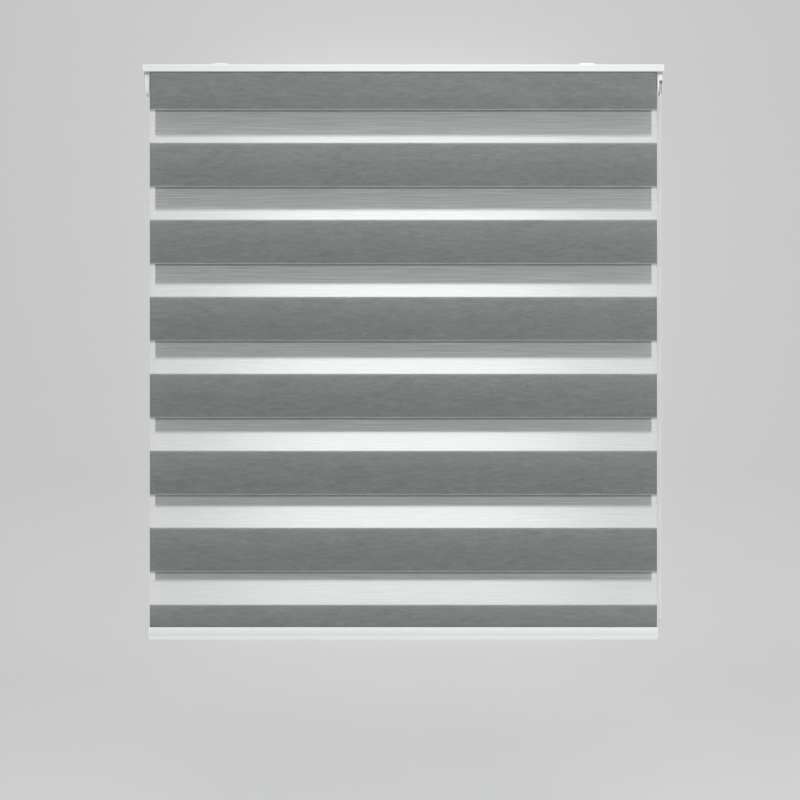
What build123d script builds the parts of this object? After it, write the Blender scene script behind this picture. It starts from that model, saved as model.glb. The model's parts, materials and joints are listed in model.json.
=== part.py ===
from build123d import *
import math
import os

os.makedirs("parts", exist_ok=True)

# ---------------------------------------------------------------------------
# Day and night blind, hung from the underside of a lintel.
# Millimetres, +Z up, +X to the viewer's right, +Y away from the viewer.
# Origin: centre of the mounting plane, where the two clips are screwed up.
# ---------------------------------------------------------------------------

# overall
HALF_W = 440.0  # half of the 880 mm blind
FABRIC_W = 856.0  # cloth width
FABRIC_T = 0.4

# headrail
RAIL_TOP = -3.0  # the clips keep the rail 3 mm below the lintel
RAIL_H = 12.3
RAIL_BOT = RAIL_TOP - RAIL_H
RAIL_HALF_D = 22.2
RAIL_HALF_L = 437.4
WALL = 1.3

# roller
AXIS_Z = -34.6  # the roller's axis runs along X through (0, AXIS_Z)
TUBE_R = 12.5
TUBE_BORE = 11.3
TURNS_R = 13.6  # outside of the turns that stay on the tube
TUBE_HALF_L = 428.3

# cloth planes
FRONT_Y = -19.3  # middle of the front layer
REAR_Y = 14.1  # middle of the rear layer
MID_Y = (FRONT_Y + REAR_Y) / 2
HALF_GAP = (REAR_Y - FRONT_Y) / 2

# bottom bar
BAR_TOP = -952.7
BAR_BOT = -975.3
BAR_HALF_D = 19.5
BAR_LIP = 17.15  # half width over the bar's two top lips
BAR_HALF_L = 428.3
BAR_WALL = 1.35
CAP_T = 1.4

# bead chain and its wheel
BALL_D = 3.0
BALL_PITCH = 4.1
WHEEL_BALLS = 12
CHAIN_X = 436.9
PITCH_R = round(BALL_PITCH / 2 / math.sin(math.pi / WHEEL_BALLS), 2)  # 7.92
LOOP_BOT = -946.9  # centre line at the lowest point of the loop

# end plates
PLATE_IN = 439.1  # inner face of the thin outer wall
PLATE_R = 13.8
COVER_R = 14.8
COVER_Z = -37.8  # the covers' round lower end is centred a little under the axis
COVER_IN = 430.0
COVER_OUT = 438.6
COVER_TOP = RAIL_BOT - 0.3

# mounting
CLIP_X = 310.0
CLIP_W = 24.0
SCREW_HOLE_R = 2.25


def yz(x):
    """The plane across the blind at x: its first axis is Y, its second Z."""
    return Plane.YZ.offset(x)


def rail_outline():
    """Outside of the headrail's section, also used by the end plates' caps."""
    with Locations((0, (RAIL_TOP + RAIL_BOT) / 2)):
        RectangleRounded(2 * RAIL_HALF_D, RAIL_H, 1.3)


def u_outline(radius, top, centre=AXIS_Z):
    """A plate round the roller's axis: round below, straight sides above."""
    with Locations((0, centre)):
        Circle(radius)
    with Locations((0, (centre + top) / 2)):
        Rectangle(2 * radius, top - centre)


# Outside of the bottom bar's section: rounded lips, bowed sides that are widest
# at a soft crease, and a belly that tucks in under it
BAR_CREASE = -966.9
with BuildSketch() as bar_section:
    with BuildLine():
        top = Line((MID_Y - BAR_LIP, BAR_TOP), (MID_Y + BAR_LIP, BAR_TOP))
        low = Line((MID_Y + 10.2, BAR_BOT), (MID_Y - 10.2, BAR_BOT))
        for side in (-1, 1):
            lip = ThreePointArc(
                (MID_Y + side * BAR_LIP, BAR_TOP),
                (MID_Y + side * 18.122, BAR_TOP - 0.358),
                (MID_Y + side * 18.63, BAR_TOP - 1.26),
            )
            bow = ThreePointArc(
                lip @ 1,
                (MID_Y + side * 19.28, -960.43),
                (MID_Y + side * BAR_HALF_D, BAR_CREASE),
            )
            ThreePointArc(
                bow @ 1,
                (MID_Y + side * 15.98, -972.35),
                (MID_Y + side * 10.2, BAR_BOT),
            )
    make_face()


# ---------------------------------------------------------------------------
# Headrail: aluminium extrusion, open along the top for the clips, with a
# keyway along the front of its underside for the edge of the front layer
# ---------------------------------------------------------------------------
with BuildPart() as headrail:
    with BuildSketch(yz(-RAIL_HALF_L)):
        rail_outline()
        # the channel that the clips hook into
        with Locations((3.0, (RAIL_TOP + RAIL_BOT) / 2)):
            Rectangle(35.8, RAIL_H - 2 * WALL, mode=Mode.SUBTRACT)
        with Locations((0, RAIL_TOP - WALL / 2)):
            Rectangle(18.6, WALL + 0.2, mode=Mode.SUBTRACT)
        # the keyway for the cloth's strip, and its slot
        with Locations((-18.55, (RAIL_TOP + RAIL_BOT) / 2)):
            Rectangle(4.7, RAIL_H - 2 * WALL, mode=Mode.SUBTRACT)
        with Locations((FRONT_Y, RAIL_BOT + WALL / 2)):
            Rectangle(1.6, WALL + 0.2, mode=Mode.SUBTRACT)
        # a fine line along the face
        with Locations((-RAIL_HALF_D, -8.8)):
            Rectangle(0.6, 0.9, mode=Mode.SUBTRACT)
    extrude(amount=2 * RAIL_HALF_L)
    # holes for the screws that hold the end plates' tongues
    with Locations(Plane((0, 0, RAIL_BOT), x_dir=(1, 0, 0), z_dir=(0, 0, -1))):
        with Locations((-424.0, -4.0), (424.0, -4.0)):
            CounterSinkHole(1.6, 2.9, depth=WALL + 0.6, counter_sink_angle=90)
headrail.part.label = "headrail"
export_step(headrail.part, "parts/headrail.step")

# the strip welded to the cloth's top edge, lying in the keyway
with BuildPart() as headrail_fabric_strip:
    with BuildSketch(yz(-FABRIC_W / 2)):
        with Locations((-18.7, -12.9)):
            RectangleRounded(3.8, 1.8, 0.4)
    extrude(amount=FABRIC_W)
headrail_fabric_strip.part.label = "headrail_fabric_strip"
export_step(headrail_fabric_strip.part, "parts/headrail_fabric_strip.step")

# ---------------------------------------------------------------------------
# Mounting clips: one folded spring-steel strip each
# ---------------------------------------------------------------------------
CLIP_HALF = [
    (0.0, 0.0),
    (18.2, 0.0),
    (18.2, -3.0),
    (17.0, -3.0),
    (17.0, -1.2),
    (8.8, -1.2),
    (8.8, -4.4),
    (11.3, -4.4),
    (11.3, -5.6),
    (7.6, -5.6),
    (7.6, -1.2),
    (0.0, -1.2),
]


with BuildSketch() as clip_section:
    with BuildLine():
        Polyline(*CLIP_HALF, close=True)
    make_face()
    mirror(about=Plane.YZ)


with BuildPart() as mounting_clip_left:
    with BuildSketch(yz(-CLIP_X - CLIP_W / 2)):
        add(clip_section.sketch)
    extrude(amount=CLIP_W)
    with Locations(Plane((-CLIP_X, 0, -1.2), x_dir=(1, 0, 0), z_dir=(0, 0, -1))):
        Hole(SCREW_HOLE_R, depth=1.2)
mounting_clip_left.part.label = "mounting_clip_left"
export_step(mounting_clip_left.part, "parts/mounting_clip_left.step")

with BuildPart() as mounting_clip_right:
    with BuildSketch(yz(CLIP_X - CLIP_W / 2)):
        add(clip_section.sketch)
    extrude(amount=CLIP_W)
    with Locations(Plane((CLIP_X, 0, -1.2), x_dir=(1, 0, 0), z_dir=(0, 0, -1))):
        Hole(SCREW_HOLE_R, depth=1.2)
mounting_clip_right.part.label = "mounting_clip_right"
export_step(mounting_clip_right.part, "parts/mounting_clip_right.step")

# ---------------------------------------------------------------------------
# Drive end plate: cap over the rail's end, tongue inside it, and a thin wall
# down beside the chain wheel, in one moulding
# ---------------------------------------------------------------------------
with BuildPart() as drive_end_plate:
    with BuildSketch(yz(RAIL_HALF_L)):
        rail_outline()
    extrude(amount=HALF_W - RAIL_HALF_L)
    fillet(
        drive_end_plate.edges().filter_by_position(Axis.X, HALF_W - 0.01, HALF_W + 0.01),
        1.9,
    )
    with BuildSketch(yz(PLATE_IN)):
        u_outline(PLATE_R, RAIL_BOT + 3.0)
    extrude(amount=HALF_W - PLATE_IN - 0.3)
    with BuildSketch(yz(RAIL_HALF_L - 26.0)):
        with Locations((3.0, -9.4)):
            Rectangle(35.4, 8.8)
        with Locations((3.0, -7.0)):
            Rectangle(31.8, 7.0, mode=Mode.SUBTRACT)
    extrude(amount=26.0)
    # pilot for the tongue's screw, and the hole for the spindle's screw
    with Locations(Plane((424.0, 4.0, -13.8), x_dir=(1, 0, 0), z_dir=(0, 0, -1))):
        Hole(1.45, depth=4.0)
    with Locations(
        Plane((HALF_W - 0.3, 0, AXIS_Z), x_dir=(0, 1, 0), z_dir=(1, 0, 0))
    ):
        CounterSinkHole(1.5, 2.3, depth=2.0, counter_sink_angle=90)
drive_end_plate.part.label = "drive_end_plate"
export_step(drive_end_plate.part, "parts/drive_end_plate.step")

# ---------------------------------------------------------------------------
# Idle end plate: the same moulding at the other end, with a boss for the pin
# ---------------------------------------------------------------------------
with BuildPart() as idle_end_plate:
    with BuildSketch(yz(-RAIL_HALF_L)):
        rail_outline()
    extrude(amount=-(HALF_W - RAIL_HALF_L))
    fillet(
        idle_end_plate.edges().filter_by_position(Axis.X, -HALF_W - 0.01, -HALF_W + 0.01),
        1.9,
    )
    with BuildSketch(yz(-PLATE_IN)):
        u_outline(PLATE_R, RAIL_BOT + 3.0)
    extrude(amount=-(HALF_W - PLATE_IN - 0.3))
    with BuildSketch(yz(-RAIL_HALF_L)):
        with Locations((3.0, -9.4)):
            Rectangle(35.4, 8.8)
        with Locations((3.0, -7.0)):
            Rectangle(31.8, 7.0, mode=Mode.SUBTRACT)
    extrude(amount=26.0)
    with BuildSketch(yz(-PLATE_IN)):
        with Locations((0, AXIS_Z)):
            Circle(5.4)
    extrude(amount=PLATE_IN - 431.2)
    with BuildSketch(yz(-PLATE_IN)):
        with Locations((0, AXIS_Z)):
            Circle(3.0)
    extrude(amount=PLATE_IN - 431.2, mode=Mode.SUBTRACT)
    with Locations(Plane((-424.0, 4.0, -13.8), x_dir=(1, 0, 0), z_dir=(0, 0, -1))):
        Hole(1.45, depth=4.0)
idle_end_plate.part.label = "idle_end_plate"
export_step(idle_end_plate.part, "parts/idle_end_plate.step")

# screws up through the rail's floor into both tongues
with BuildPart() as end_plate_screws:
    for x in (-424.0, 424.0):
        with BuildSketch(Plane.XY.offset(-10.6)):
            with Locations((x, 4.0)):
                Circle(1.4)
        extrude(amount=-(10.6 + RAIL_BOT) * -1 - 0.15)
        with BuildSketch(Plane.XY.offset(RAIL_BOT)):
            with Locations((x, 4.0)):
                Circle(2.7)
        with BuildSketch(Plane.XY.offset(RAIL_BOT + 1.3)):
            with Locations((x, 4.0)):
                Circle(1.4)
        loft()
end_plate_screws.part.label = "end_plate_screws"
export_step(end_plate_screws.part, "parts/end_plate_screws.step")

# ---------------------------------------------------------------------------
# Chain guard: moulded housing round the wheel, open in front and below where
# the two strands of the chain leave it
# ---------------------------------------------------------------------------
WHEEL_ROOM = 10.2
GUARD_FLOOR = 434.3  # the wheel's room starts here
SLOT_IN = 433.5  # the front slot's inner side
SLOT_TOP = -27.6
with BuildPart() as chain_guard:
    with BuildSketch(yz(COVER_IN)):
        u_outline(COVER_R, COVER_TOP, COVER_Z)
    extrude(amount=COVER_OUT - COVER_IN)
    fillet(
        chain_guard.edges().filter_by_position(Axis.X, COVER_IN - 0.01, COVER_IN + 0.01),
        1.1,
    )
    chamfer(
        chain_guard.edges().filter_by_position(Axis.X, COVER_OUT - 0.01, COVER_OUT + 0.01),
        0.5,
    )
    # room for the wheel
    with BuildSketch(yz(GUARD_FLOOR)):
        with Locations((0, AXIS_Z)):
            Circle(WHEEL_ROOM)
    extrude(amount=20.0, mode=Mode.SUBTRACT)
    # front slot, open to the outside, and the way out below
    with BuildSketch(yz(SLOT_IN)):
        with Locations((-13.0, (SLOT_TOP - 60.0) / 2)):
            Rectangle(15.0, SLOT_TOP + 60.0)
    extrude(amount=20.0, mode=Mode.SUBTRACT)
    with BuildSketch(yz(GUARD_FLOOR)):
        with Locations((-2.0, (AXIS_Z - 60.0) / 2)):
            Rectangle(2 * WHEEL_ROOM + 4.0, AXIS_Z + 60.0)
    extrude(amount=20.0, mode=Mode.SUBTRACT)
    # hole for the wheel's sleeve
    with BuildSketch(yz(COVER_IN - 1.0)):
        with Locations((0, AXIS_Z)):
            Circle(8.0)
    extrude(amount=20.0, mode=Mode.SUBTRACT)
    # notch under the rail for lifting the guard off
    with BuildSketch(yz(432.0)):
        with Locations((-14.4, COVER_TOP)):
            Rectangle(5.0, 1.8)
    extrude(amount=5.4, mode=Mode.SUBTRACT)
chain_guard.part.label = "chain_guard"
export_step(chain_guard.part, "parts/chain_guard.step")

# cover over the idle end plate: a dish with a thick rim, whose front is scooped
# out between two edges, deeper towards its rounded tip
with BuildPart() as idle_cover:
    with BuildSketch(yz(-COVER_IN)):
        u_outline(COVER_R, COVER_TOP, COVER_Z)
    extrude(amount=-(COVER_OUT - COVER_IN))
    fillet(
        idle_cover.edges().filter_by_position(Axis.X, -COVER_IN - 0.01, -COVER_IN + 0.01),
        1.1,
    )
    fillet(
        idle_cover.edges().filter_by_position(Axis.X, -COVER_OUT - 0.01, -COVER_OUT + 0.01),
        1.1,
    )
    with BuildSketch(yz(-COVER_IN - 1.6)):
        u_outline(COVER_R - 4.6, COVER_TOP - 4.0, COVER_Z)
    extrude(amount=-20.0, mode=Mode.SUBTRACT)
    # the scoop
    with BuildSketch(yz(-431.3)):
        with BuildLine():
            Polyline((-14.8, -17.6), (-17.0, -17.6), (-17.0, -47.4), (-11.4, -47.4))
            ThreePointArc((-11.4, -47.4), (-13.75, -33.5), (-14.8, -17.6))
        make_face()
    extrude(amount=-6.1, mode=Mode.SUBTRACT)
    with BuildSketch(yz(-COVER_IN + 1.0)):
        with Locations((0, AXIS_Z)):
            Circle(5.8)
    extrude(amount=-20.0, mode=Mode.SUBTRACT)
    with BuildSketch(yz(-432.4)):
        with Locations((-14.4, COVER_TOP)):
            Rectangle(5.0, 1.8)
    extrude(amount=-5.0, mode=Mode.SUBTRACT)
idle_cover.part.label = "idle_cover"
export_step(idle_cover.part, "parts/idle_cover.step")

# ---------------------------------------------------------------------------
# Drive: fixed spindle, its screw and clip, chain wheel, brake springs, hub
# ---------------------------------------------------------------------------
SPINDLE_R = 4.6
JOURNAL_R = 3.8
with BuildPart() as drive_spindle:
    with BuildSketch(yz(410.3)):
        with Locations((0, AXIS_Z)):
            Circle(SPINDLE_R)
    extrude(amount=PLATE_IN - 410.3)
    with BuildSketch(yz(402.0)):
        with Locations((0, AXIS_Z)):
            Circle(JOURNAL_R)
    extrude(amount=8.3)
    # groove for the clip
    with BuildSketch(yz(403.2)):
        with Locations((0, AXIS_Z)):
            Circle(JOURNAL_R)
            Circle(3.1, mode=Mode.SUBTRACT)
    extrude(amount=0.9, mode=Mode.SUBTRACT)
    # bore for the screw, with the lower half of its countersink
    with Locations(Plane((PLATE_IN, 0, AXIS_Z), x_dir=(0, 1, 0), z_dir=(1, 0, 0))):
        CounterSinkHole(1.45, 1.75, depth=12.0, counter_sink_angle=90)
drive_spindle.part.label = "drive_spindle"
export_step(drive_spindle.part, "parts/drive_spindle.step")

with BuildPart() as spindle_screw:
    with BuildSketch(yz(428.5)):
        with Locations((0, AXIS_Z)):
            Circle(1.4)
    extrude(amount=HALF_W - 0.3 - 0.9 - 428.5)
    with BuildSketch(yz(HALF_W - 0.3 - 0.9)):
        with Locations((0, AXIS_Z)):
            Circle(1.4)
    with BuildSketch(yz(HALF_W - 0.3)):
        with Locations((0, AXIS_Z)):
            Circle(2.2)
    loft()
    with BuildSketch(yz(HALF_W - 0.3)):
        with Locations((0, AXIS_Z)):
            Rectangle(2.4, 0.5)
            Rectangle(0.5, 2.4)
    extrude(amount=-0.6, mode=Mode.SUBTRACT)
spindle_screw.part.label = "spindle_screw"
export_step(spindle_screw.part, "parts/spindle_screw.step")

with BuildPart() as spindle_clip:
    with BuildSketch(yz(403.25)):
        with Locations((0, AXIS_Z)):
            Circle(6.0)
            Circle(3.2, mode=Mode.SUBTRACT)
        with Locations((0, AXIS_Z - 5.0)):
            Rectangle(3.0, 6.0, mode=Mode.SUBTRACT)
    extrude(amount=0.8)
spindle_clip.part.label = "spindle_clip"
export_step(spindle_clip.part, "parts/spindle_clip.step")

GROOVE_A, GROOVE_B = 435.2, 438.6
with BuildPart() as chain_wheel:
    # core with a seat for each ball
    with BuildSketch(yz(GROOVE_A)):
        with Locations((0, AXIS_Z)):
            Circle(6.1)
            with PolarLocations(PITCH_R, WHEEL_BALLS):
                Circle(2.2, mode=Mode.SUBTRACT)
    extrude(amount=GROOVE_B - GROOVE_A)
    # flanges with scalloped rims
    with BuildSketch(yz(GROOVE_B)):
        with Locations((0, AXIS_Z)):
            Circle(8.4)
            with PolarLocations(8.9, WHEEL_BALLS):
                Circle(1.2, mode=Mode.SUBTRACT)
    extrude(amount=0.35)
    with BuildSketch(yz(GROOVE_A)):
        with Locations((0, AXIS_Z)):
            Circle(8.4)
            with PolarLocations(8.9, WHEEL_BALLS):
                Circle(1.2, mode=Mode.SUBTRACT)
    extrude(amount=-0.6)
    # sleeve quarter that reaches into the hub and turns the springs' tails
    with BuildSketch(yz(GROOVE_A - 0.6)):
        with Locations((0, AXIS_Z)):
            Circle(7.4)
            Circle(6.0, mode=Mode.SUBTRACT)
        with BuildLine():
            Polyline(
                (0, AXIS_Z), (14.0, AXIS_Z + 11.7), (0, AXIS_Z + 24.0),
                (-14.0, AXIS_Z + 11.7), close=True,
            )
        make_face(mode=Mode.INTERSECT)
    extrude(amount=-(GROOVE_A - 0.6 - 411.0))
    # bore
    with BuildSketch(yz(430.0)):
        with Locations((0, AXIS_Z)):
            Circle(SPINDLE_R + 0.06)
    extrude(amount=20.0, mode=Mode.SUBTRACT)
chain_wheel.part.label = "chain_wheel"
export_step(chain_wheel.part, "parts/chain_wheel.step")

# two wrap springs, each wound close on the spindle, with a tail at each end
with BuildPart() as brake_springs:
    for start in (411.6, 420.6):
        with BuildSketch(Plane.XZ):
            with BuildLine():
                pts = [(start, AXIS_Z + SPINDLE_R + 0.03)]
                for k in range(8):
                    x0 = start + k
                    pts += [
                        (x0 + 0.1, AXIS_Z + 5.45),
                        (x0 + 0.3, AXIS_Z + 5.62),
                        (x0 + 0.7, AXIS_Z + 5.62),
                        (x0 + 0.9, AXIS_Z + 5.45),
                    ]
                pts += [(start + 8.0, AXIS_Z + SPINDLE_R + 0.03)]
                Polyline(*pts, close=True)
            make_face()
        revolve(axis=Axis((0, 0, AXIS_Z), (1, 0, 0)))
        # tails, lying beside the wheel's sleeve
        for a, x0 in ((24.0, start + 0.1), (156.0, start + 6.9)):
            with BuildSketch(
                Plane(
                    origin=(x0, 0, AXIS_Z),
                    x_dir=(0, math.cos(math.radians(a)), math.sin(math.radians(a))),
                    z_dir=(1, 0, 0),
                )
            ):
                with Locations((6.2, 0)):
                    Rectangle(2.2, 0.9)
            extrude(amount=1.0)
brake_springs.part.label = "brake_springs"
export_step(brake_springs.part, "parts/brake_springs.step")

# ---------------------------------------------------------------------------
# Roller tube and what turns with it
# ---------------------------------------------------------------------------
KEY_R = 10.9  # the tube's cloth keyway is centred this far from the axis
with BuildPart() as roller_tube:
    with BuildSketch(yz(-TUBE_HALF_L)):
        with Locations((0, AXIS_Z)):
            Circle(TUBE_R)
            Circle(TUBE_BORE, mode=Mode.SUBTRACT)
        with Locations((0, AXIS_Z + KEY_R - 0.7)):
            Circle(2.2)
        with Locations((0, AXIS_Z + KEY_R)):
            Circle(1.3, mode=Mode.SUBTRACT)
        with Locations((0, AXIS_Z + KEY_R + 1.6)):
            Rectangle(1.1, 2.4, mode=Mode.SUBTRACT)
        # inner ribs that stiffen the tube
        with Locations((0, AXIS_Z)):
            with PolarLocations(TUBE_BORE - 0.3, 3, start_angle=210, angular_range=180):
                Rectangle(1.6, 1.2)
    extrude(amount=2 * TUBE_HALF_L)
roller_tube.part.label = "roller_tube"
export_step(roller_tube.part, "parts/roller_tube.step")

with BuildPart() as tube_fabric_strip:
    with BuildSketch(yz(-FABRIC_W / 2)):
        with Locations((0, AXIS_Z + KEY_R)):
            Circle(1.15)
    extrude(amount=FABRIC_W)
tube_fabric_strip.part.label = "tube_fabric_strip"
export_step(tube_fabric_strip.part, "parts/tube_fabric_strip.step")

# the turns of cloth that stay on the tube when the blind is down
with BuildPart() as fabric_turns:
    with BuildSketch(yz(-FABRIC_W / 2)):
        with Locations((0, AXIS_Z)):
            Circle(TURNS_R)
            Circle(TUBE_R + 0.02, mode=Mode.SUBTRACT)
    extrude(amount=FABRIC_W)
fabric_turns.part.label = "fabric_turns"
export_step(fabric_turns.part, "parts/fabric_turns.step")


def key_notches():
    """Room in a plug for the tube's keyway and ribs."""
    with Locations((0, AXIS_Z + KEY_R - 0.7)):
        Circle(2.35, mode=Mode.SUBTRACT)
    with Locations((0, AXIS_Z)):
        with PolarLocations(TUBE_BORE - 0.3, 3, start_angle=210, angular_range=180):
            Rectangle(2.0, 1.5, mode=Mode.SUBTRACT)


with BuildPart() as drive_hub:
    with BuildSketch(yz(405.0)):
        with Locations((0, AXIS_Z)):
            Circle(TUBE_BORE - 0.1)
        key_notches()
    extrude(amount=TUBE_HALF_L + 0.05 - 405.0)
    with BuildSketch(yz(TUBE_HALF_L + 0.05)):
        with Locations((0, AXIS_Z)):
            Circle(12.9)
    extrude(amount=1.0)
    # room for the springs and the wheel's sleeve, with the rib that the
    # springs' tails push
    with BuildSketch(yz(410.0)):
        with Locations((0, AXIS_Z)):
            Circle(7.75)
        with BuildLine():
            Polyline(
                (0, AXIS_Z), (14.0, AXIS_Z - 11.7), (0, AXIS_Z - 24.0),
                (-14.0, AXIS_Z - 11.7), close=True,
            )
        make_face(mode=Mode.SUBTRACT)
        with Locations((0, AXIS_Z)):
            Circle(6.0)
    extrude(amount=30.0, mode=Mode.SUBTRACT)
    with BuildSketch(yz(400.0)):
        with Locations((0, AXIS_Z)):
            Circle(JOURNAL_R + 0.06)
    extrude(amount=12.0, mode=Mode.SUBTRACT)
drive_hub.part.label = "drive_hub"
export_step(drive_hub.part, "parts/drive_hub.step")

with BuildPart() as idle_plug:
    with BuildSketch(yz(-TUBE_HALF_L - 0.05)):
        with Locations((0, AXIS_Z)):
            Circle(TUBE_BORE - 0.1)
        key_notches()
    extrude(amount=18.0)
    with BuildSketch(yz(-TUBE_HALF_L - 0.05)):
        with Locations((0, AXIS_Z)):
            Circle(12.9)
    extrude(amount=-0.9)
    with BuildSketch(yz(-431.0)):
        with Locations((0, AXIS_Z)):
            Circle(4.6)
    extrude(amount=30.0, mode=Mode.SUBTRACT)
idle_plug.part.label = "idle_plug"
export_step(idle_plug.part, "parts/idle_plug.step")

with BuildPart() as idle_bush:
    with BuildSketch(yz(-429.25)):
        with Locations((0, AXIS_Z)):
            Circle(4.58)
    extrude(amount=19.0)
    with BuildSketch(yz(-429.3)):
        with Locations((0, AXIS_Z)):
            Circle(5.6)
    extrude(amount=-0.4)
    with BuildSketch(yz(-429.3)):
        with Locations((0, AXIS_Z)):
            Circle(4.58)
    extrude(amount=0.1)
    with BuildSketch(yz(-431.0)):
        with Locations((0, AXIS_Z)):
            Circle(3.06)
    extrude(amount=30.0, mode=Mode.SUBTRACT)
idle_bush.part.label = "idle_bush"
export_step(idle_bush.part, "parts/idle_bush.step")

with BuildPart() as idle_pin:
    with BuildSketch(yz(-PLATE_IN + 0.1)):
        with Locations((0, AXIS_Z)):
            Circle(3.0)
    extrude(amount=PLATE_IN - 0.1 - 407.0)
    chamfer(idle_pin.edges().sort_by(Axis.X)[-1], 0.6)
idle_pin.part.label = "idle_pin"
export_step(idle_pin.part, "parts/idle_pin.step")

# ---------------------------------------------------------------------------
# Cloth: one long strip, hanging from the keyway, round the inner bar and back
# up to the roller. Its opaque and sheer stripes are woven in, with no step.
# ---------------------------------------------------------------------------
LOOP_Z = -973.4  # lowest point of the cloth
LOOP_R = 8.2
with BuildPart() as fabric:
    with BuildSketch(yz(-FABRIC_W / 2)):
        outer_half = HALF_GAP + FABRIC_T / 2
        with Locations((MID_Y, (-13.85 + LOOP_Z) / 2)):
            RectangleRounded(2 * outer_half, -13.85 - LOOP_Z, LOOP_R)
            RectangleRounded(
                2 * (outer_half - FABRIC_T),
                -13.85 - LOOP_Z - 2 * FABRIC_T,
                LOOP_R - FABRIC_T,
                mode=Mode.SUBTRACT,
            )
        # straighten the front layer up to the strip, and end the rear layer
        # at the height of the roller's axis
        with Locations((MID_Y, (-13.0 - 24.0) / 2)):
            Rectangle(60.0, 11.0 + 12.0, mode=Mode.SUBTRACT)
        with Locations((MID_Y + 20.0, AXIS_Z / 2)):
            Rectangle(30.0, -AXIS_Z, mode=Mode.SUBTRACT)
        with Locations((FRONT_Y, (-13.85 - 34.0) / 2)):
            Rectangle(FABRIC_T, 34.0 - 13.85)
    extrude(amount=FABRIC_W)
fabric.part.label = "fabric"
export_step(fabric.part, "parts/fabric.step")

# ---------------------------------------------------------------------------
# Bottom bar: outer channel, inner bar that the cloth slides round, end caps
# ---------------------------------------------------------------------------
with BuildPart() as bottom_rail:
    with BuildSketch(yz(-BAR_HALF_L)):
        add(bar_section.sketch)
        offset(amount=-BAR_WALL, mode=Mode.SUBTRACT)
        with Locations((MID_Y, BAR_TOP - 1.0)):
            Rectangle(2 * 16.95, 6.0, mode=Mode.SUBTRACT)
    extrude(amount=2 * BAR_HALF_L)
bottom_rail.part.label = "bottom_rail"
export_step(bottom_rail.part, "parts/bottom_rail.step")

CORE_TOP, CORE_BOT, CORE_HALF = -955.6, -972.7, 16.2
with BuildPart() as bottom_inner_bar:
    with BuildSketch(yz(-BAR_HALF_L)):
        with Locations((MID_Y, (CORE_TOP + CORE_BOT) / 2)):
            RectangleRounded(2 * CORE_HALF, CORE_TOP - CORE_BOT, 7.6)
            RectangleRounded(
                2 * (CORE_HALF - 1.3), CORE_TOP - CORE_BOT - 2.6, 6.3, mode=Mode.SUBTRACT
            )
            Rectangle(1.2, CORE_TOP - CORE_BOT - 2.0)
    extrude(amount=2 * BAR_HALF_L)
bottom_inner_bar.part.label = "bottom_inner_bar"
export_step(bottom_inner_bar.part, "parts/bottom_inner_bar.step")


def cap_spigots():
    """Two plugs that push into the inner bar, one each side of its web."""
    with Locations(
        (MID_Y - 7.7, (CORE_TOP + CORE_BOT) / 2), (MID_Y + 7.7, (CORE_TOP + CORE_BOT) / 2)
    ):
        RectangleRounded(11.6, 10.6, 2.4)


CAP_BEVEL = 0.55
with BuildPart() as bottom_cap_left:
    with BuildSketch(yz(-BAR_HALF_L)):
        add(bar_section.sketch)
    extrude(amount=-(CAP_T - CAP_BEVEL))
    # bevelled outer edge
    with BuildSketch(yz(-BAR_HALF_L - CAP_T + CAP_BEVEL)):
        add(bar_section.sketch)
    with BuildSketch(yz(-BAR_HALF_L - CAP_T)):
        add(bar_section.sketch)
        offset(amount=-CAP_BEVEL)
    loft()
    with BuildSketch(yz(-BAR_HALF_L)):
        cap_spigots()
    extrude(amount=14.0)
bottom_cap_left.part.label = "bottom_cap_left"
export_step(bottom_cap_left.part, "parts/bottom_cap_left.step")

with BuildPart() as bottom_cap_right:
    with BuildSketch(yz(BAR_HALF_L)):
        add(bar_section.sketch)
    extrude(amount=CAP_T - CAP_BEVEL)
    with BuildSketch(yz(BAR_HALF_L + CAP_T - CAP_BEVEL)):
        add(bar_section.sketch)
    with BuildSketch(yz(BAR_HALF_L + CAP_T)):
        add(bar_section.sketch)
        offset(amount=-CAP_BEVEL)
    loft()
    with BuildSketch(yz(BAR_HALF_L)):
        cap_spigots()
    extrude(amount=-14.0)
bottom_cap_right.part.label = "bottom_cap_right"
export_step(bottom_cap_right.part, "parts/bottom_cap_right.step")

# ---------------------------------------------------------------------------
# Bead chain: an endless loop over the wheel, hanging down beside the cloth
# ---------------------------------------------------------------------------
CHAIN_END_Z = AXIS_Z - 6.0
CHAIN_ROUTE = [
    (CHAIN_X, PITCH_R, CHAIN_END_Z + 0.6),
    (CHAIN_X, PITCH_R, AXIS_Z + PITCH_R),
    (CHAIN_X, -PITCH_R, AXIS_Z + PITCH_R),
    (CHAIN_X, -PITCH_R, LOOP_BOT),
    (CHAIN_X, PITCH_R, LOOP_BOT),
    (CHAIN_X, PITCH_R, CHAIN_END_Z - 0.6),
]
CHAIN_RADII = [PITCH_R - 0.05, PITCH_R - 0.05, 0.45 * 2 * PITCH_R, 0.45 * 2 * PITCH_R]
with BuildPart() as ball_chain:
    with BuildLine() as chain_path:
        FilletPolyline(*CHAIN_ROUTE, radius=CHAIN_RADII)
    with BuildSketch(Plane(origin=CHAIN_ROUTE[0], z_dir=(0, 0, 1))):
        Circle(BALL_D / 2)
    sweep(path=chain_path.wires()[0])
ball_chain.part.label = "ball_chain"
export_step(ball_chain.part, "parts/ball_chain.step")

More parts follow.
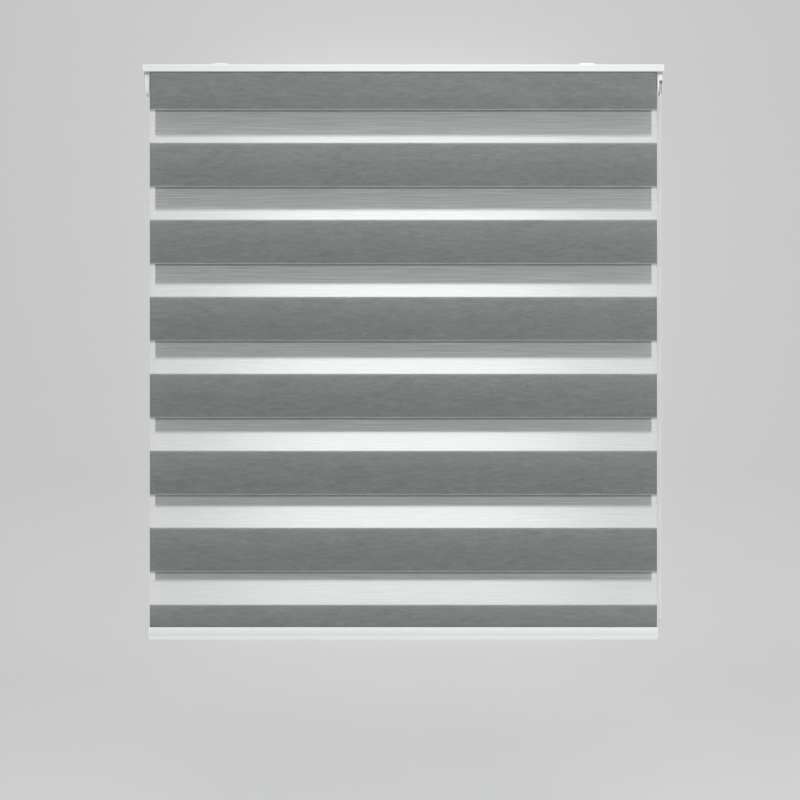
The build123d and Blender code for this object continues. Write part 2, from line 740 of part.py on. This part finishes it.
chain_len = chain_path.wires()[0].length
print("chain radii", [round(r, 2) for r in CHAIN_RADII])
print("chain length", round(chain_len, 1), "balls", round(chain_len / BALL_PITCH, 2))
print(
    "chain volume over section times length",
    round(ball_chain.part.volume / (math.pi * (BALL_D / 2) ** 2 * chain_len), 4),
)
loop_len = (
    (-13.85 - LOOP_Z - LOOP_R)
    + (AXIS_Z - LOOP_Z - LOOP_R)
    + math.pi * (LOOP_R - FABRIC_T / 2)
    + 2 * (HALF_GAP - LOOP_R + FABRIC_T / 2)
)
print("cloth hanging", round(loop_len, 1), "with three turns", round(loop_len + 3 * math.pi * 2 * 13.0, 1))
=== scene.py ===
import json
import math

import bpy
import bmesh
import numpy as np
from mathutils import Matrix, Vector


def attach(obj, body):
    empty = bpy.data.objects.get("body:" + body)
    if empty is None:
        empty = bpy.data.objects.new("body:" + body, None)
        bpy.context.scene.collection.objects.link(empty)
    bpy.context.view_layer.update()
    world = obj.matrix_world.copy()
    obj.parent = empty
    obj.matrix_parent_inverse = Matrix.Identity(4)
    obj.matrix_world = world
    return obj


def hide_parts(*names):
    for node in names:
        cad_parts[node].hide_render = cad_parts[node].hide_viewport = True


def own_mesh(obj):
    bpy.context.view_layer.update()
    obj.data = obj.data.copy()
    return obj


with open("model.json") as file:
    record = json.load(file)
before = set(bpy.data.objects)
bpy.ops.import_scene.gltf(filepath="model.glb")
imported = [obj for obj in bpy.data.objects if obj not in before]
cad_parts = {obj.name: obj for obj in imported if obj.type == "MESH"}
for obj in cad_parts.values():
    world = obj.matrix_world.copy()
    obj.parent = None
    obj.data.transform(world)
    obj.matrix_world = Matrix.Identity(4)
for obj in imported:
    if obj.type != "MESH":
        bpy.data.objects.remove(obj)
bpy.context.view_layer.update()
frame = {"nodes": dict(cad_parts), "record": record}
nodes = frame["nodes"]
scene = bpy.context.scene

# ---------------------------------------------------------------------------
# Camera, straight on, a little above half the blind's height
# ---------------------------------------------------------------------------
cam_data = bpy.data.cameras.new("camera")
cam_data.sensor_width = 36.0
cam_data.lens = 40.35
cam_data.shift_x = -0.0042
cam_data.clip_start, cam_data.clip_end = 0.05, 50.0
camera = bpy.data.objects.new("camera", cam_data)
scene.collection.objects.link(camera)
camera.location = (0.0, -1.5333, -0.5692)
camera.rotation_euler = (math.radians(90.0), 0.0, 0.0)
scene.camera = camera

# ---------------------------------------------------------------------------
# Bead chain: the route's points, in metres, as part of the drive at the right
# ---------------------------------------------------------------------------
CHAIN_X = 0.4369
PITCH_R = 0.00792
WHEEL_TOP = -0.02668
LOOP_BOT = -0.9469
BALL_D = 0.003
BALLS = 453
CHAIN_ROUTE = [
    (CHAIN_X, PITCH_R, -0.0400),
    (CHAIN_X, PITCH_R, WHEEL_TOP),
    (CHAIN_X, -PITCH_R, WHEEL_TOP),
    (CHAIN_X, -PITCH_R, WHEEL_TOP - 0.018),
    (CHAIN_X, -PITCH_R, LOOP_BOT + 2 * PITCH_R),
    (CHAIN_X, -PITCH_R, LOOP_BOT),
    (CHAIN_X, PITCH_R, LOOP_BOT),
    (CHAIN_X, PITCH_R, LOOP_BOT + 2 * PITCH_R),
    (CHAIN_X, PITCH_R, -0.0412),
]


def route_line(points, name):
    """The route's NURBS spline, and the points read from it."""
    data = bpy.data.curves.new(name, "CURVE")
    data.dimensions = "3D"
    data.resolution_u = 24
    spline = data.splines.new("NURBS")
    spline.points.add(len(points) - 1)
    for p, co in zip(spline.points, points):
        p.co = (*co, 1.0)
    spline.order_u = 3
    spline.use_endpoint_u = True
    holder = bpy.data.objects.new(name, data)
    scene.collection.objects.link(holder)
    bpy.context.view_layer.update()
    mesh = bpy.data.meshes.new_from_object(holder)
    line = np.array([v.co for v in mesh.vertices], float).reshape(-1, 3)
    bpy.data.meshes.remove(mesh)
    bpy.data.objects.remove(holder)
    return line


chain_line = route_line(CHAIN_ROUTE, "chain_route")


def lathe_chain(name, line, count, ball_r, cord_r):
    """Balls moulded on a thin cord: one closed surface that follows the line."""
    loop = np.vstack([line, line[:1]])
    steps = np.linalg.norm(np.diff(loop, axis=0), axis=1)
    along = np.concatenate([[0.0], np.cumsum(steps)])
    total = along[-1]
    pitch = total / count
    reach = math.degrees(math.asin(cord_r / ball_r))
    angles = np.radians(np.linspace(reach, 180.0 - reach, 8))
    sides = 12
    ring_at, ring_r = [], []
    for i in range(count):
        centre = (i + 0.5) * pitch
        for a in angles:
            ring_at.append(centre - ball_r * math.cos(a))
            ring_r.append(ball_r * math.sin(a))
    ring_at = np.array(ring_at) % total

    def place(s):
        return np.stack([np.interp(s % total, along, loop[:, k]) for k in range(3)], 1)

    centres = place(ring_at)
    ahead, behind = place(ring_at + 4e-4), place(ring_at - 4e-4)
    tangent = ahead - behind
    tangent /= np.linalg.norm(tangent, axis=1, keepdims=True)
    across = np.array([1.0, 0.0, 0.0])
    side = np.cross(tangent, across)
    side /= np.linalg.norm(side, axis=1, keepdims=True)
    verts = []
    for c, s, r in zip(centres, side, ring_r):
        for k in range(sides):
            t = 2 * math.pi * k / sides
            verts.append(c + r * (math.cos(t) * across + math.sin(t) * s))
    rings = len(ring_r)
    faces = []
    for i in range(rings):
        j = (i + 1) % rings
        for k in range(sides):
            m = (k + 1) % sides
            faces.append((i * sides + k, i * sides + m, j * sides + m, j * sides + k))
    mesh = bpy.data.meshes.new(name)
    mesh.from_pydata([tuple(v) for v in verts], [], faces)
    mesh.polygons.foreach_set("use_smooth", [True] * len(faces))
    mesh.update()
    made = bpy.data.objects.new(name, mesh)
    scene.collection.objects.link(made)
    return made, total


chain, chain_len = lathe_chain("chain_beads", chain_line, BALLS, BALL_D / 2, 0.00042)
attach(chain, "headrail_frame")
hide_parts("ball_chain")

# ---------------------------------------------------------------------------
# Cloth: one strip that hangs from the rail, turns round the inner bar and
# climbs back to the roller. Its head stays at the rail, its foot goes with the
# bottom bar, and what hangs between them shortens as the bar rises.
# ---------------------------------------------------------------------------
HALF_W = 0.428
FRONT_Y, REAR_Y = -0.0193, 0.0141
MID_Y = (FRONT_Y + REAR_Y) / 2
HEAD_Z, SPLIT_Z = -0.01385, -0.0346
FOOT_Z, TURN_Z, TURN_R = -0.9560, -0.9732, 0.0080


def section_down(z0, z1, step):
    n = max(1, round(abs(z1 - z0) / step))
    return [z0 + (z1 - z0) * i / n for i in range(n + 1)]


def sheet_mesh(name, section, columns, rear=()):
    """A sheet of cloth: its section in Y and Z, run across the blind's width."""
    mesh = bpy.data.meshes.new(name)
    xs = np.linspace(-HALF_W, HALF_W, columns + 1)
    verts = [(x, y, z) for (y, z) in [*section, *rear] for x in xs]
    row = columns + 1
    gap = len(section) - 1
    faces = [
        (i * row + k, (i + 1) * row + k, (i + 1) * row + k + 1, i * row + k + 1)
        for i in range(len(section) + len(rear) - 1)
        if i != gap
        for k in range(columns)
    ]
    mesh.from_pydata(verts, [], faces)
    mesh.polygons.foreach_set("use_smooth", [True] * len(faces))
    mesh.update()
    made = bpy.data.objects.new(name, mesh)
    scene.collection.objects.link(made)
    return made


corner_z = TURN_Z + TURN_R
foot = [(FRONT_Y, z) for z in section_down(FOOT_Z, corner_z, 0.003)]
for i in range(1, 13):
    a = math.pi / 2 * i / 12
    foot.append((FRONT_Y + TURN_R * (1 - math.cos(a)), corner_z - TURN_R * math.sin(a)))
foot += [(y, TURN_Z) for y in np.linspace(FRONT_Y + TURN_R, REAR_Y - TURN_R, 6)[1:]]
for i in range(1, 13):
    a = math.pi / 2 * i / 12
    foot.append((REAR_Y - TURN_R * (1 - math.sin(a)), corner_z - TURN_R * math.cos(a)))
foot += [(REAR_Y, z) for z in section_down(corner_z, FOOT_Z, 0.003)[1:]]
cloth = sheet_mesh(
    "cloth",
    [(FRONT_Y, z) for z in section_down(SPLIT_Z, FOOT_Z, 0.012)],
    24,
    [(REAR_Y, z) for z in section_down(SPLIT_Z, FOOT_Z, 0.012)],
)
cloth_foot = sheet_mesh("cloth_foot", foot, 24)
cloth_head = sheet_mesh("cloth_head", [(FRONT_Y, z) for z in section_down(HEAD_Z, SPLIT_Z, 0.003)], 24)

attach(cloth, "headrail_frame")
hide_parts("fabric")
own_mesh(cloth)
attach(cloth_head, "headrail_frame")
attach(cloth_foot, "bottom_bar")

# markers that carry the stripes' coordinates with the bar and the roller
bar_mark = bpy.data.objects.new("bar_mark", None)
scene.collection.objects.link(bar_mark)
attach(bar_mark, "bottom_bar")
roller_mark = bpy.data.objects.new("roller_mark", None)
roller_mark.location = (0.0, 0.0, -0.0346)
scene.collection.objects.link(roller_mark)
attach(roller_mark, "roller")


# ---------------------------------------------------------------------------
# Node helpers
# ---------------------------------------------------------------------------
class Tree:
    def __init__(self, name):
        self.mat = bpy.data.materials.new(name)
        self.mat.use_nodes = True
        self.nt = self.mat.node_tree
        self.nt.nodes.clear()
        self.out = self.nt.nodes.new("ShaderNodeOutputMaterial")

    def new(self, kind, **values):
        n = self.nt.nodes.new(kind)
        for k, v in values.items():
            setattr(n, k, v)
        return n

    def link(self, a, b):
        self.nt.links.new(a, b)

    def feed(self, socket, value):
        if isinstance(value, bpy.types.NodeSocket):
            self.link(value, socket)
        else:
            socket.default_value = value

    def maths(self, op, a, b=None, c=None, clamp=False):
        n = self.new("ShaderNodeMath", operation=op, use_clamp=clamp)
        for i, v in enumerate((a, b, c)):
            if v is not None:
                self.feed(n.inputs[i], v)
        return n.outputs[0]

    def mix(self, fac, a, b):
        n = self.new("ShaderNodeMix", data_type="FLOAT")
        self.feed(n.inputs[0], fac)
        self.feed(n.inputs[2], a)
        self.feed(n.inputs[3], b)
        return n.outputs[0]

    def mix_colour(self, fac, a, b, blend="MIX"):
        n = self.new("ShaderNodeMix", data_type="RGBA", blend_type=blend)
        self.feed(n.inputs[0], fac)
        self.feed(n.inputs[6], a)
        self.feed(n.inputs[7], b)
        return n.outputs[2]

    def ramp(self, fac, stops, smooth="LINEAR"):
        """A curve of single values: stops are (place, value)."""
        n = self.new("ShaderNodeValToRGB")
        n.color_ramp.interpolation = smooth
        e = n.color_ramp.elements
        while len(e) > 1:
            e.remove(e[-1])
        e[0].position = stops[0][0]
        e[0].color = (stops[0][1],) * 3 + (1.0,)
        for at, value in stops[1:]:
            x = e.new(at)
            x.color = (value,) * 3 + (1.0,)
        self.feed(n.inputs[0], fac)
        return n.outputs[0]

    def noise(self, vector, scale, detail=2.0, rough=0.5, distortion=0.0):
        n = self.new("ShaderNodeTexNoise")
        self.feed(n.inputs["Vector"], vector)
        n.inputs["Scale"].default_value = scale
        n.inputs["Detail"].default_value = detail
        n.inputs["Roughness"].default_value = rough
        n.inputs["Distortion"].default_value = distortion
        return n.outputs[0]

    def xyz(self, x, y, z):
        n = self.new("ShaderNodeCombineXYZ")
        for i, v in enumerate((x, y, z)):
            self.feed(n.inputs[i], v)
        return n.outputs[0]

    def bump(self, height, strength, distance, normal=None):
        n = self.new("ShaderNodeBump")
        n.inputs["Strength"].default_value = strength
        n.inputs["Distance"].default_value = distance
        self.feed(n.inputs["Height"], height)
        if normal is not None:
            self.feed(n.inputs["Normal"], normal)
        return n.outputs[0]

    def principled(self, **values):
        n = self.new("ShaderNodeBsdfPrincipled")
        for k, v in values.items():
            self.feed(n.inputs[k.replace("_", " ")], v)
        return n


# ---------------------------------------------------------------------------
# Cloth with opaque and sheer stripes
# ---------------------------------------------------------------------------
F_TOP, F_PITCH, F_OPAQUE = -5.1, 130.0, 74.4  # front stripes, mm
R_TOP, R_PITCH, R_OPAQUE = -37.2, 127.9, 75.4  # rear stripes, mm
LEAD = 20.0  # sheer ahead of each opaque stripe in the stripe's own coordinate


def stripe_values(t, z_mm, top, pitch, opaque):
    """(opaque cover, shade) of the stripe at the coordinate z_mm."""
    f = t.maths("SUBTRACT", top + LEAD, z_mm)
    f = t.maths("DIVIDE", f, pitch)
    f = t.maths("FRACT", f)
    f = t.maths("MULTIPLY", f, pitch / 130.0)

    def at(mm):
        return mm / 130.0

    a, b = LEAD, LEAD + opaque
    cover = t.ramp(f, [
        (0.0, 0.0), (at(a - 0.25), 0.0), (at(a + 0.25), 0.93), (at(a + 2.4), 0.975), (at(a + 5.0), 1.0),
        (at(b - 1.9), 1.0), (at(b - 0.2), 0.97), (at(b + 0.2), 0.46), (at(b + 2.3), 0.42), (at(b + 2.8), 0.0), (1.0, 0.0),
    ])
    shade = t.ramp(f, [
        (0.0, 0.5), (at(a + 0.6), 0.66), (at(a + 2.0), 0.585), (at(a + 4.2), 0.52), (at(a + 8.0), 0.5),
        (at(b - 2.0), 0.488), (at(b - 1.75), 0.80), (at(b - 0.25), 0.80), (at(b + 0.1), 0.47), (1.0, 0.5),
    ])
    return cover, shade


def cloth_material(name, wound=False):
    t = Tree(name)
    place = t.new("ShaderNodeNewGeometry").outputs["Position"]
    split = t.new("ShaderNodeSeparateXYZ")
    t.link(place, split.inputs[0])
    x, y, z = (split.outputs[i] for i in range(3))
    if wound:
        # round the roll: the coordinate is the arc from where the cloth meets it
        own = t.new("ShaderNodeTexCoord")
        own.object = roller_mark
        s = t.new("ShaderNodeSeparateXYZ")
        t.link(own.outputs["Object"], s.inputs[0])
        turn = t.maths("ARCTAN2", s.outputs[2], s.outputs[1])
        turn = t.maths("WRAP", turn, 2 * math.pi, 0.0)
        length = t.maths("MULTIPLY_ADD", turn, 13.6, -34.6)
        cover, shade = stripe_values(t, length, R_TOP, R_PITCH, R_OPAQUE)
        along = length
        rear = 1.0
    else:
        z_mm = t.maths("MULTIPLY", z, 1000.0)
        own = t.new("ShaderNodeTexCoord")
        own.object = bar_mark
        s = t.new("ShaderNodeSeparateXYZ")
        t.link(own.outputs["Object"], s.inputs[0])
        # the rear layer climbs twice as fast as the bar
        z_rear = t.maths("MULTIPLY_ADD", s.outputs[2], 2000.0, t.maths("MULTIPLY", z_mm, -1.0))
        rear = t.maths("GREATER_THAN", y, MID_Y)
        fc, fs = stripe_values(t, z_mm, F_TOP, F_PITCH, F_OPAQUE)
        rc, rs = stripe_values(t, z_rear, R_TOP, R_PITCH, R_OPAQUE)
        cover, shade = t.mix(rear, fc, rc), t.mix(rear, fs, rs)
        # one length coordinate for the weave, different on the two layers
        along = t.mix(rear, z_mm, t.maths("ADD", z_rear, 3170.0))
    across = t.maths("MULTIPLY", x, 1000.0)

    # grain of the opaque stripes: long, wavy slubs along the width over fainter clouds
    drift = t.noise(t.xyz(t.maths("MULTIPLY", across, 0.012), 0.0, t.maths("MULTIPLY", along, 0.05)), 1.0, 2.0, 0.5)
    wavy = t.maths("MULTIPLY_ADD", drift, 16.0, along)
    grain_c = t.noise(t.xyz(t.maths("MULTIPLY", across, 0.022), 3.1, t.maths("MULTIPLY", wavy, 0.10)), 1.0, 3.0, 0.6, 1.2)
    grain_a = t.noise(t.xyz(t.maths("MULTIPLY", across, 0.040), 0.0, t.maths("MULTIPLY", wavy, 0.30)), 1.0, 3.0, 0.62, 0.9)
    grain_b = t.noise(t.xyz(t.maths("MULTIPLY", across, 0.13), 5.3, t.maths("MULTIPLY", wavy, 0.75)), 1.0, 2.0, 0.55, 0.5)
    cloudy = t.noise(t.xyz(t.maths("MULTIPLY", across, 0.008), 2.0, t.maths("MULTIPLY", along, 0.014)), 1.0, 2.0, 0.5)
    # plain weave under it
    weft = t.maths("SINE", t.maths("MULTIPLY", along, 2 * math.pi / 0.62))
    warp = t.maths("SINE", t.maths("MULTIPLY", across, 2 * math.pi / 0.5))
    weave = t.maths("MULTIPLY", weft, warp)

    tone = t.maths("MULTIPLY_ADD", grain_c, 0.34, 1.0 - 0.17)
    tone = t.maths("ADD", tone, t.maths("MULTIPLY_ADD", grain_a, 0.50, -0.25))
    tone = t.maths("ADD", tone, t.maths("MULTIPLY_ADD", grain_b, 0.34, -0.17))
    tone = t.maths("ADD", tone, t.maths("MULTIPLY_ADD", cloudy, 0.12, -0.06))
    tone = t.maths("MULTIPLY", tone, t.maths("MULTIPLY_ADD", weave, 0.03, 1.0))
    tone = t.maths("MULTIPLY", tone, t.maths("MULTIPLY", shade, 2.0))
    # the cut side edges of the cloth are a little darker
    edge = t.maths("SUBTRACT", HALF_W * 1000.0, t.maths("ABSOLUTE", across))
    edge = t.ramp(t.maths("DIVIDE", edge, 10.0), [(0.0, 0.72), (0.12, 0.80), (0.2, 1.0)])
    tone = t.maths("MULTIPLY", tone, edge)
    if not wound:
        # painted light: the front layer's head is painted up to 15 % lighter, making up for the light that the roller
        # keeps off the cloth's back there
        head = t.ramp(t.maths("MULTIPLY", z, -10.0), [(0.0, 1.0), (0.52, 0.90), (0.60, 0.35), (0.85, 0.0)])
        head = t.maths("MULTIPLY", head, t.maths("SUBTRACT", 1.0, rear))
        tone = t.maths("MULTIPLY", tone, t.maths("MULTIPLY_ADD", head, 0.15, 1.0))

    def coloured(value, colour):
        n = t.new("ShaderNodeVectorMath", operation="SCALE")
        n.inputs[0].default_value = colour
        t.feed(n.inputs["Scale"], value)
        return n.outputs[0]

    grey = coloured(tone, (0.205, 0.224, 0.216))

    # sheer stripes: fine white yarns with a fainter uneven beat
    beat = t.noise(t.xyz(t.maths("MULTIPLY", across, 0.010), 0.0, t.maths("MULTIPLY", along, 0.42)), 1.0, 2.0, 0.5, 0.35)
    pick = t.maths("SINE", t.maths("MULTIPLY", along, 2 * math.pi / 1.05))
    end = t.maths("SINE", t.maths("MULTIPLY", across, 2 * math.pi / 0.8))
    thread = t.maths("MULTIPLY_ADD", beat, 0.25, 0.19)
    thread = t.maths("ADD", thread, t.maths("MULTIPLY", pick, 0.03))
    thread = t.maths("ADD", thread, t.maths("MULTIPLY", end, 0.015))
    white = coloured(t.maths("MULTIPLY_ADD", beat, 0.08, 0.90), (0.98, 0.995, 1.0))

    colour = t.mix_colour(t.maths("GREATER_THAN", cover, 0.02), white, grey)
    # cover of the opaque weave over the yarns
    alpha = t.maths("MAXIMUM", cover, thread, clamp=True)

    height = t.maths("ADD", t.maths("MULTIPLY", grain_a, 0.6), t.maths("MULTIPLY_ADD", weave, 0.2, 0.3))
    normal = t.bump(height, 0.35, 0.00018)
    surface = t.principled(Base_Color=colour, Roughness=t.maths("MULTIPLY_ADD", grain_b, 0.16, 0.80), Normal=normal)
    surface.inputs["Specular IOR Level"].default_value = 0.25
    surface.inputs["Sheen Weight"].default_value = 0.08
    if wound:
        under = t.mix_colour(0.30, grey, white)
        t.feed(surface.inputs["Base Color"], t.mix_colour(t.maths("GREATER_THAN", cover, 0.02), under, grey))
        t.link(surface.outputs[0], t.out.inputs["Surface"])
        return t.mat
    through = t.new("ShaderNodeBsdfTranslucent")
    t.feed(through.inputs["Color"], t.mix_colour(t.maths("GREATER_THAN", cover, 0.02), white, coloured(tone, (0.42, 0.435, 0.435))))
    t.link(normal, through.inputs["Normal"])
    body = t.new("ShaderNodeMixShader")
    t.feed(body.inputs[0], t.mix(t.maths("GREATER_THAN", cover, 0.02), 0.35, 0.20))
    t.link(surface.outputs[0], body.inputs[1])
    t.link(through.outputs[0], body.inputs[2])
    clear = t.new("ShaderNodeBsdfTransparent")
    whole = t.new("ShaderNodeMixShader")
    t.feed(whole.inputs[0], alpha)
    t.link(clear.outputs[0], whole.inputs[1])
    t.link(body.outputs[0], whole.inputs[2])
    t.link(whole.outputs[0], t.out.inputs["Surface"])
    return t.mat


# ---------------------------------------------------------------------------
# Hard materials
# ---------------------------------------------------------------------------
def own_place(t, scale=1000.0):
    """The piece's own coordinates, in millimetres."""
    n = t.new("ShaderNodeTexCoord")
    v = t.new("ShaderNodeVectorMath", operation="SCALE")
    t.link(n.outputs["Object"], v.inputs[0])
    v.inputs["Scale"].default_value = scale
    return v.outputs[0]


def hard(name, colour, rough, peel=0.0, peel_scale=1.0, metal=0.0, streak=False, spread=0.04, coat=0.0, spec=0.5, sub=0.0, painted_shade_bands=None, under=1.0):
    t = Tree(name)
    place = own_place(t)
    fine = t.noise(place, peel_scale, 2.0, 0.5)
    broad = t.noise(place, 0.02, 2.0, 0.5)
    if streak:
        s = t.new("ShaderNodeSeparateXYZ")
        t.link(place, s.inputs[0])
        lined = t.xyz(t.maths("MULTIPLY", s.outputs[0], 0.01), s.outputs[1], s.outputs[2])
        fine = t.noise(lined, 4.0, 3.0, 0.6)
    shade = t.maths("MULTIPLY_ADD", broad, spread, 1.0 - spread / 2)
    shade = t.maths("MULTIPLY", shade, t.maths("MULTIPLY_ADD", fine, spread, 1.0 - spread / 2))
    if painted_shade_bands:
        # painted shade along the height, greyer where less light falls: (millimetres above the lowest point, value)
        s = t.new("ShaderNodeSeparateXYZ")
        t.link(place, s.inputs[0])
        low, span, stops = painted_shade_bands
        up = t.maths("DIVIDE", t.maths("SUBTRACT", s.outputs[2], low), span, clamp=True)
        shade = t.maths("MULTIPLY", shade, t.ramp(up, [(mm / span, v) for mm, v in stops], "EASE"))
    if under < 1.0:
        # painted shade: greyer on the undersides, where less light falls
        s = t.new("ShaderNodeSeparateXYZ")
        t.link(t.new("ShaderNodeNewGeometry").outputs["Normal"], s.inputs[0])
        facing = t.maths("MULTIPLY_ADD", s.outputs[2], 0.5, 0.5)
        shade = t.maths("MULTIPLY", shade, t.ramp(facing, [(0.28, under), (0.60, 1.0)], "EASE"))
    n = t.new("ShaderNodeVectorMath", operation="SCALE")
    n.inputs[0].default_value = colour
    t.feed(n.inputs["Scale"], shade)
    p = t.principled(
        Base_Color=n.outputs[0],
        Roughness=t.maths("MULTIPLY_ADD", fine, 0.12, rough - 0.06),
        Normal=t.bump(fine, 0.25, peel),
    )
    p.inputs["Metallic"].default_value = metal
    p.inputs["Coat Weight"].default_value = coat
    p.inputs["Specular IOR Level"].default_value = spec
    if sub:
        p.inputs["Subsurface Weight"].default_value = sub
        p.inputs["Subsurface Radius"].default_value = (1.0, 1.0, 1.0)
        p.inputs["Subsurface Scale"].default_value = 0.001
    t.link(p.outputs[0], t.out.inputs["Surface"])
    return t.mat


mats = {
    "white_coated_aluminium": hard("powder_coat", (0.80, 0.808, 0.808), 0.38, 0.00003, 1.1, spread=0.02),
    "mill_aluminium": hard("mill_aluminium", (0.74, 0.75, 0.76), 0.34, 0.00002, 1.0, metal=1.0, streak=True, spread=0.08),
    "white_plastic": hard("moulded_white", (0.86, 0.865, 0.86), 0.30, 0.000006, 0.8, spread=0.02),
    # the beads are painted with shade on their undersides
    "chain_plastic": hard("bead_white", (0.95, 0.952, 0.95), 0.18, 0.00001, 2.0, spread=0.02, coat=0.5, under=0.84),
    "clear_strip": hard("strip_plastic", (0.78, 0.79, 0.78), 0.42, 0.00002, 1.0, spread=0.05),
    "zinc_spring_steel": hard("zinc_steel", (0.66, 0.66, 0.65), 0.36, 0.00003, 0.6, metal=1.0, spread=0.12),
    "screw_steel": hard("plated_steel", (0.60, 0.60, 0.60), 0.28, 0.00002, 1.2, metal=1.0, spread=0.10),
    "grey_nylon": hard("grey_nylon", (0.36, 0.37, 0.38), 0.46, 0.00003, 0.9, spread=0.08),
    "acetal": hard("acetal", (0.84, 0.84, 0.80), 0.36, 0.00002, 0.9, spread=0.03),
}
slots = {s["node"]: s["material_slot"] for s in frame["record"]["subparts"]}
for name, obj in nodes.items():
    slot_name = slots[name]
    if slot_name == "cloth":
        continue
    obj.data.materials.clear()
    obj.data.materials.append(mats[slot_name])
# painted light and shade: the bar's powder coat is a brighter copy of the rail's, and its face is painted greyer along
# the middle and lighter at its top lip and bottom
bar_coat_painted_light_and_shade = hard(
    "bar_coat_painted_light_and_shade", (0.93, 0.937, 0.937), 0.36, 0.00002, 1.1, spread=0.02,
    painted_shade_bands=(-975.3, 22.6, [(0.0, 1.0), (3.5, 0.93), (8.0, 0.87), (10.5, 0.80), (14.5, 0.86), (20.0, 0.91), (21.2, 1.0)]),
)
nodes["bottom_rail"].data.materials.clear()
nodes["bottom_rail"].data.materials.append(bar_coat_painted_light_and_shade)
chain.data.materials.append(mats["chain_plastic"])
cloth_mat = cloth_material("striped_cloth")
cloth.data.materials.append(cloth_mat)
cloth_head.data.materials.append(cloth_mat)
cloth_foot.data.materials.append(cloth_mat)
nodes["fabric_turns"].data.materials.clear()
nodes["fabric_turns"].data.materials.append(cloth_material("wound_cloth", wound=True))

# ---------------------------------------------------------------------------
# Stage: pale floor that sweeps up into a pale backdrop
# ---------------------------------------------------------------------------
FLOOR_Z, BACK_Y, COVE = -1.45, 1.9, 0.6
profile = [(-30.0, FLOOR_Z), (BACK_Y - COVE, FLOOR_Z)]
for i in range(1, 25):
    a = math.pi / 2 * i / 24
    profile.append((BACK_Y - COVE + COVE * math.sin(a), FLOOR_Z + COVE * (1 - math.cos(a))))
profile.append((BACK_Y, 8.0))
sweep = bpy.data.meshes.new("stage_sweep")
sv, sf = [], []
for i, (y, z) in enumerate(profile):
    sv += [(-30.0, y, z), (30.0, y, z)]
    if i:
        sf.append((2 * i - 2, 2 * i - 1, 2 * i + 1, 2 * i))
sweep.from_pydata(sv, [], sf)
sweep.polygons.foreach_set("use_smooth", [True] * len(sf))
stage = bpy.data.objects.new("stage_sweep", sweep)
scene.collection.objects.link(stage)
st = Tree("stage_paint")
sp = st.principled(Base_Color=(0.80, 0.802, 0.805, 1.0))
sp.inputs["Roughness"].default_value = 0.95
sp.inputs["Specular IOR Level"].default_value = 0.1
st.link(sp.outputs[0], st.out.inputs["Surface"])
sweep.materials.append(st.mat)

world = bpy.data.worlds.new("world")
scene.world = world
world.use_nodes = True
world.node_tree.nodes["Background"].inputs[0].default_value = (1.0, 1.0, 1.0, 1.0)
world.node_tree.nodes["Background"].inputs[1].default_value = 0.71


def area_light(name, place, aim, size, power, colour=(1.0, 1.0, 1.0)):
    data = bpy.data.lights.new(name, "AREA")
    data.shape = "RECTANGLE"
    data.size, data.size_y = size
    data.energy = power
    data.color = colour
    made = bpy.data.objects.new(name, data)
    scene.collection.objects.link(made)
    made.location = place
    made.rotation_euler = (Vector(aim) - Vector(place)).to_track_quat("-Z", "Y").to_euler()
    return made


key = area_light("key", (0.09, -1.0, 0.60), (0, 0, -0.20), (1.2, 0.6), 4.0)
key.data.spread = math.radians(130)
back = area_light("back", (0.0, 0.30, 1.90), (0, 1.75, -1.15), (2.4, 1.2), 5.0, (0.98, 0.99, 1.0))
wash = area_light("wash", (0.0, 1.25, -0.38), (0, 1.9, -0.38), (1.24, 1.76), 4.3, (0.98, 0.99, 1.0))
wash.data.spread = math.radians(80)
window = area_light("window", (0.0, 1.1, -0.30), (0, 0, -0.38), (1.6, 1.4), 2.7, (0.98, 0.99, 1.0))
window.data.spread = math.radians(110)
sill = area_light("sill", (0.0, -0.32, -1.34), (0, -0.02, -0.94), (1.6, 0.25), 1.1)
side = area_light("side", (1.25, -0.95, -0.55), (0.30, 0, -0.50), (0.4, 1.0), 2.4)
for lamp in (key, back, wash, window, sill, side):
    lamp.visible_camera = False

scene.view_settings.view_transform = "Standard"
scene.view_settings.look = "None"
scene.view_settings.exposure = 0.0
scene.view_settings.gamma = 1.0
